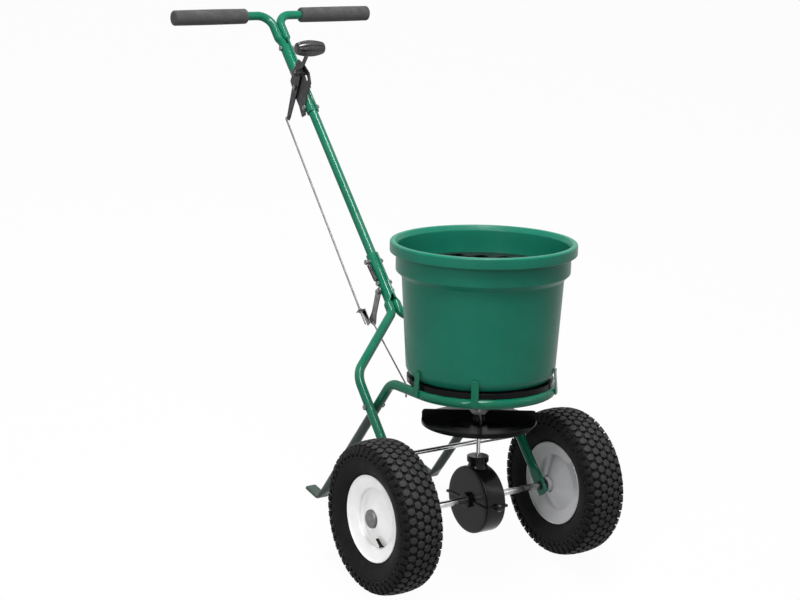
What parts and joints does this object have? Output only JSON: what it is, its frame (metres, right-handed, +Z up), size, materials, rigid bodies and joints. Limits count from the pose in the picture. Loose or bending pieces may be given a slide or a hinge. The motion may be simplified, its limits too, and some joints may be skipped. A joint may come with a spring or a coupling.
{
  "type": "push broadcast spreader",
  "caption": "Walk-behind spreader: bucket hopper over a geared spinning disc, tube frame with handlebar and rate lever, two pneumatic wheels and rear feet.",
  "frame": {"origin": "middle of the footprint on the ground, with the machine parked on its wheels and rear feet", "axes": "+X to the operator's left, +Y back towards the operator, +Z up"},
  "size_m": [0.549, 1.186, 0.9069],
  "materials": {
    "green_enamel": "gloss green enamel over steel tube and strip",
    "green_plastic": "satin green moulded polyethylene",
    "black_plastic": "black moulded nylon, satin",
    "white_enamel": "white enamel over pressed steel",
    "grip_foam": "dark grey closed-cell foam",
    "tyre_rubber": "black rubber with a block tread",
    "valve_rubber": "black rubber",
    "zinc_plate": "dull zinc plate",
    "bright_steel": "bright drawn steel",
    "spring_steel": "dark drawn spring wire"
  },
  "bodies": {
    "root": {"handle_post": "green_enamel", "frame_tube_left": "green_enamel", "frame_tube_right": "green_enamel", "ring_stand": "green_enamel", "handlebar_left": "green_enamel", "handlebar_right": "green_enamel", "hopper_strap_1": "green_enamel", "hopper_strap_2": "green_enamel", "hopper_strap_3": "green_enamel", "hopper_strap_4": "green_enamel", "grip_left": "grip_foam", "grip_right": "grip_foam", "cross_brace": "bright_steel", "hopper": "green_plastic", "base_plate": "black_plastic", "gearbox_upper": "black_plastic", "gearbox_lower": "black_plastic", "gearbox_collar": "black_plastic", "gearbox_screw_front": "zinc_plate", "gearbox_screw_rear": "zinc_plate", "axle_bush_left": "black_plastic", "axle_bush_right": "black_plastic", "gauge_plate": "zinc_plate", "return_spring": "spring_steel", "handlebar_bolt_upper": "zinc_plate", "handlebar_bolt_lower": "zinc_plate", "spring_anchor_bolt": "zinc_plate", "frame_bolt": "zinc_plate", "lever_pivot_bolt": "zinc_plate", "crank_pivot_bolt": "zinc_plate", "leg_bolt_left": "zinc_plate", "leg_bolt_right": "zinc_plate"},
    "axle": {"axle": "bright_steel", "drive_pin": "bright_steel", "crown_gear": "zinc_plate", "rim_right": "white_enamel", "tyre_right": "tyre_rubber", "hub_cap_right": "zinc_plate", "valve_stem_right": "valve_rubber"},
    "free_wheel": {"rim_left": "white_enamel", "tyre_left": "tyre_rubber", "hub_cap_left": "zinc_plate", "valve_stem_left": "valve_rubber"},
    "impeller": {"impeller_shaft": "bright_steel", "impeller": "black_plastic", "pinion": "zinc_plate", "agitator_pin": "bright_steel"},
    "screen": {"hopper_screen": "black_plastic"},
    "shutter": {"shutter": "zinc_plate"},
    "lever": {"control_lever": "zinc_plate", "lever_knob": "black_plastic"},
    "rate_stop": {"rate_stop": "black_plastic"},
    "rod": {"control_rod": "bright_steel", "rod_clip": "zinc_plate"},
    "crank": {"crank": "zinc_plate"},
    "wire": {"shutter_wire": "bright_steel"}
  },
  "joints": [
    {"name": "axle_spin", "type": "hinge", "parent": "root", "child": "axle", "pos_m": [0, -0.43719, 0.15602], "axis": [1, 0, 0], "continuous": true},
    {"name": "free_wheel_spin", "type": "hinge", "parent": "axle", "child": "free_wheel", "pos_m": [0, -0.43719, 0.15602], "axis": [1, 0, 0], "continuous": true},
    {"name": "impeller_spin", "type": "hinge", "parent": "root", "child": "impeller", "pos_m": [0, -0.43719, 0.15602], "axis": [0, 0.2079, 0.9781], "continuous": true},
    {"name": "lever_swing", "type": "hinge", "parent": "root", "child": "lever", "pos_m": [0, 0.41217, 0.76849], "axis": [1, 0, 0], "range_deg": [-30, 0]},
    {"name": "rod_swivel", "type": "hinge", "parent": "lever", "child": "rod", "pos_m": [0, 0.42469, 0.69441], "axis": [1, 0, 0], "range_deg": [-0.1, 30.1]},
    {"name": "crank_swing", "type": "hinge", "parent": "root", "child": "crank", "pos_m": [0, -0.01873, 0.44466], "axis": [1, 0, 0], "range_deg": [-30.1, 0.1], "deforming": ["return_spring"]},
    {"name": "wire_swivel", "type": "hinge", "parent": "crank", "child": "wire", "pos_m": [0, -0.01918, 0.37467], "axis": [1, 0, 0], "range_deg": [-0.1, 30.1]},
    {"name": "shutter_slide", "type": "slide", "parent": "root", "child": "shutter", "axis": [0, 0.9781, -0.2079], "range_m": [-0.0363, 0.0001]},
    {"name": "rate_stop_turn", "type": "hinge", "parent": "root", "child": "rate_stop", "pos_m": [0, 0.41217, 0.76849], "axis": [1, 0, 0], "range_deg": [0, 22]},
    {"name": "screen_lift", "type": "slide", "parent": "root", "child": "screen", "axis": [0, 0.2079, 0.9781], "range_m": [0, 0.12]}
  ],
  "couplings": [
    {"joint": "impeller_spin", "follows": "axle_spin", "ratio": -4},
    {"joint": "rod_swivel", "follows": "lever_swing", "ratio": -1},
    {"joint": "crank_swing", "follows": "lever_swing", "ratio": 1},
    {"joint": "wire_swivel", "follows": "lever_swing", "ratio": -1},
    {"joint": "shutter_slide", "follows": "lever_swing", "m_per_rad": 0.06914}
  ]
}
